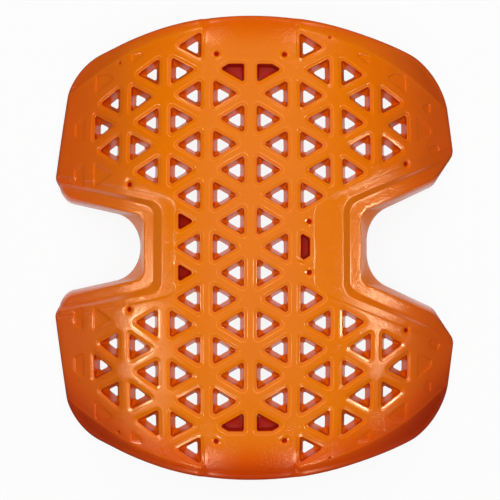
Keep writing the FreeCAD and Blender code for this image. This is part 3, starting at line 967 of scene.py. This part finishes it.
def drifting(tree, clouds, middle, down, up):
    """A value that follows the clouds, from middle + down to middle + up."""
    drift = node(tree, "ShaderNodeMapRange", inputs={"To Min": middle + down, "To Max": middle + up})
    tree.links.new(clouds, drift.inputs["Value"])
    return drift.outputs["Result"]


def polymer_colour(tree, clouds):
    """The plain orange with the mesh's painted shade and highlight, and a little drift."""
    link = tree.links.new
    painted_light = node(tree, "ShaderNodeAttribute", attribute_name="painted_light")
    depth = node(tree, "ShaderNodeMath", operation="MULTIPLY_ADD", inputs={1: PAINTED_LIGHT_SHARE})
    link(painted_light.outputs["Fac"], depth.inputs[0])
    link(drifting(tree, clouds, PLAIN_DEPTH, -CLOUDS, CLOUDS), depth.inputs[2])
    painted_light_tone = node(tree, "ShaderNodeValToRGB")
    ends = painted_light_tone.color_ramp.elements
    ends[0].color = PAINTED_HIGHLIGHT_ORANGE
    ends[1].color = PAINTED_SHADE_DARK_RED
    for position, colour in ((PLAIN_DEPTH, ORANGE), (PAINTED_SHADE_PLACE, PAINTED_SHADE_RED_ORANGE)):
        ends.new(position).color = colour
    link(depth.outputs["Value"], painted_light_tone.inputs["Fac"])
    return painted_light_tone.outputs["Color"]


def pebbled_normal(tree, grain_strength):
    """The fine pebbled grain of the skin, where the mesh says there is some."""
    link = tree.links.new
    grain = node(tree, "ShaderNodeAttribute", attribute_name="grain")
    strength = node(tree, "ShaderNodeMath", operation="MULTIPLY", inputs={1: grain_strength})
    link(grain.outputs["Fac"], strength.inputs[0])
    bump = node(tree, "ShaderNodeBump", inputs={"Distance": PEBBLE_HEIGHT})
    link(strength.outputs["Value"], bump.inputs["Strength"])
    link(noise(tree, PEBBLE_SCALE, detail=1.0, roughness=0.5), bump.inputs["Height"])
    return bump.outputs["Normal"]


def polymer(name, grain_strength, roughness, specular):
    """Satin orange polymer with the mesh's painted shade and highlight, clouds and a pebbled grain."""
    material, tree, output = new_material(name)
    link = tree.links.new
    clouds = noise(tree, CLOUD_SCALE, detail=4.0, roughness=0.6)
    shader = node(tree, "ShaderNodeBsdfPrincipled")
    shader.inputs["Specular IOR Level"].default_value = specular
    link(polymer_colour(tree, clouds), shader.inputs["Base Color"])
    link(pebbled_normal(tree, grain_strength), shader.inputs["Normal"])
    link(drifting(tree, clouds, roughness, *GLOSS_DRIFT), shader.inputs["Roughness"])
    link(shader.outputs["BSDF"], output.inputs["Surface"])
    return material


# ---------------------------------------------------------------- studio

AMBIENT = 0.06
FLOOR_COLOUR = (0.80, 0.80, 0.80, 1.0)
FLOOR_HALF = 3.0
FLOOR_WHITE = 0.9  # share of plain white in the floor that the camera sees; the rest takes shadows
FLOOR_LIT = (0.095, 0.12)  # reflections see it fade between these distances from the middle
NOTCH_LIT = (0.6, 2.5, 0.0)  # and further out between the notches, as these shares of the distance
FLOOR_DARK = 0.01


def mixed(tree, share, first, second):
    """The first shader where the share is 0, and the second where it is 1."""
    mix = node(tree, "ShaderNodeMixShader")
    for socket, source in enumerate((share, first, second)):
        tree.links.new(source, mix.inputs[socket])
    return mix.outputs["Shader"]


def fade_from_pad(tree):
    """0 under the pad and between its notches, and 1 further out on the floor."""
    link = tree.links.new
    place = node(tree, "ShaderNodeTexCoord").outputs["Object"]
    reach = node(tree, "ShaderNodeVectorMath", operation="LENGTH")
    link(place, reach.inputs[0])
    across = node(tree, "ShaderNodeVectorMath", operation="MULTIPLY", inputs={1: NOTCH_LIT})
    link(place, across.inputs[0])
    notches = node(tree, "ShaderNodeVectorMath", operation="LENGTH")
    link(across.outputs["Vector"], notches.inputs[0])
    nearer = node(tree, "ShaderNodeMath", operation="MINIMUM")
    link(reach.outputs["Value"], nearer.inputs[0])
    link(notches.outputs["Value"], nearer.inputs[1])
    span = {"From Min": FLOOR_LIT[0], "From Max": FLOOR_LIT[1]}
    fade = node(tree, "ShaderNodeMapRange", inputs=span)
    link(nearer.outputs["Value"], fade.inputs["Value"])
    return fade.outputs["Result"]


def floor_material():
    """White to the camera with a faint shadow, plain grey to the light.

    Reflections see it lit only under the pad, as the studio round it is dark.
    """
    material, tree, output = new_material("studio_floor")
    link = tree.links.new
    plain = node(tree, "ShaderNodeBsdfDiffuse", inputs={"Color": FLOOR_COLOUR}).outputs["BSDF"]
    white = node(tree, "ShaderNodeEmission", inputs={"Strength": 1.0}).outputs["Emission"]
    dark = node(tree, "ShaderNodeEmission", inputs={"Strength": FLOOR_DARK}).outputs["Emission"]
    rays = node(tree, "ShaderNodeLightPath")
    seen = node(tree, "ShaderNodeMath", operation="MULTIPLY", inputs={1: FLOOR_WHITE})
    link(rays.outputs["Is Camera Ray"], seen.inputs[0])
    shown = mixed(tree, seen.outputs["Value"], plain, white)
    reflected = mixed(tree, fade_from_pad(tree), white, dark)
    mirrored_rays = node(tree, "ShaderNodeMath", operation="MAXIMUM")
    link(rays.outputs["Is Glossy Ray"], mirrored_rays.inputs[0])
    link(rays.outputs["Is Transmission Ray"], mirrored_rays.inputs[1])
    surface = mixed(tree, mirrored_rays.outputs["Value"], shown, reflected)
    link(surface, output.inputs["Surface"])
    return material


def make_floor(material):
    """A square floor under the pad."""
    data = bpy.data.meshes.new("studio_floor")
    half = FLOOR_HALF
    corners = [(-half, -half, 0), (half, -half, 0), (half, half, 0), (-half, half, 0)]
    data.from_pydata(corners, [], [(0, 1, 2, 3)])
    data.materials.append(material)
    floor = bpy.data.objects.new("studio_floor", data)
    bpy.context.scene.collection.objects.link(floor)


def make_world():
    """White behind the camera's view, dim in reflections and for the light it casts."""
    world = bpy.data.worlds.new("studio")
    bpy.context.scene.world = world
    world.use_nodes = True
    tree = world.node_tree
    background = tree.nodes["Background"]
    background.inputs["Color"].default_value = (1.0, 1.0, 1.0, 1.0)
    rays = node(tree, "ShaderNodeLightPath")
    cast = node(tree, "ShaderNodeMapRange", inputs={"To Min": AMBIENT, "To Max": FLOOR_DARK})
    tree.links.new(rays.outputs["Is Glossy Ray"], cast.inputs["Value"])
    strength = node(tree, "ShaderNodeMapRange", inputs={"To Max": 1.0})
    tree.links.new(rays.outputs["Is Camera Ray"], strength.inputs["Value"])
    tree.links.new(cast.outputs["Result"], strength.inputs["To Min"])
    tree.links.new(strength.outputs["Result"], background.inputs["Strength"])


WHITE, WARM = (1.0, 1.0, 1.0), (1.0, 0.78, 0.50)
# Name, direction from the pad, distance, width, height, watts, colour, lights and shines
LAMPS = (
    ("key", (0.0, 0.12, 0.99), 1.5, 2.2, 2.2, 35.5, WHITE, True, False),
    ("left_rim", (-0.42, -0.74, 0.52), 1.5, 0.25, 0.25, 9.0, WARM, False, True),
    ("right_rim", (0.42, -0.74, 0.52), 1.5, 0.25, 0.25, 9.0, WARM, False, True),
    ("left_back", (-0.42, 0.74, 0.52), 1.5, 0.25, 0.25, 5.0, WARM, False, True),
    ("right_back", (0.42, 0.74, 0.52), 1.5, 0.25, 0.25, 5.0, WARM, False, True),
    ("left_box", (-0.955, -0.16, 0.250), 1.3, 0.3, 0.25, 10.5, WARM, False, True),
    ("right_box", (0.925, -0.125, 0.355), 1.3, 0.3, 0.12, 13.5, WARM, False, True),
    ("left_sheen", (-0.82, -0.31, 0.47), 1.4, 0.4, 0.5, 4.0, WARM, False, True),
)


def add_lamp(name, direction, distance, width, height, watts, colour, lights, shines):
    """A soft box of that size in metres, seen from the pad in that direction.

    lights is whether it casts light, and shines whether it shows in reflections.
    """
    data = bpy.data.lights.new(name, "AREA")
    data.shape = "RECTANGLE"
    data.size = width
    data.size_y = height
    data.energy = watts
    data.color = colour
    lamp = bpy.data.objects.new(name, data)
    lamp.location = Vector(direction).normalized() * distance
    lamp.rotation_euler = lamp.location.to_track_quat("Z", "Y").to_euler()
    lamp.visible_diffuse = lights
    lamp.visible_glossy = shines
    bpy.context.scene.collection.objects.link(lamp)


CROWN_PLACE = -0.00396  # the crown's place across the leg
CAMERA_DISTANCE = 0.470  # over the crown
VIEW_SPAN = 0.2445  # what the frame takes in at that distance
VIEW_LEAN = (0.059, 0.014)  # how far the camera turns from the vertical, across and along the leg
CROWN_RISE = 0.0059  # the crown stands this share of the frame above its middle


def make_camera():
    """A camera straight over the crown; its shift brings the crown back to the middle."""
    data = bpy.data.cameras.new("camera")
    data.sensor_width = 36.0
    focal = CAMERA_DISTANCE / VIEW_SPAN
    data.lens = data.sensor_width * focal
    data.shift_x = -VIEW_LEAN[0] * focal
    data.shift_y = -VIEW_LEAN[1] * focal - CROWN_RISE
    camera = bpy.data.objects.new("camera", data)
    forward = Vector((*VIEW_LEAN, -1.0)).normalized()
    right = forward.cross(Vector((0.0, 1.0, 0.0))).normalized()
    turn = Matrix((right, right.cross(forward), -forward)).transposed()
    crown = Vector((CROWN_PLACE, 0.0, CROWN * MM))
    place = crown + Vector((0.0, 0.0, CAMERA_DISTANCE))
    camera.matrix_world = Matrix.Translation(place) @ turn.to_4x4()
    bpy.context.scene.collection.objects.link(camera)
    bpy.context.scene.camera = camera


# ---------------------------------------------------------------- the scene

skin = polymer("polymer_skin", grain_strength=1.0, roughness=0.20, specular=0.25)
walls = polymer("polymer_walls", grain_strength=0.0, roughness=0.25, specular=0.5)
pad = make_pad([skin, walls])
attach(pad, "root")
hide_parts("knee_pad")

make_floor(floor_material())
make_world()
for lamp in LAMPS:
    add_lamp(*lamp)
make_camera()

bpy.context.scene.view_settings.view_transform = "Standard"
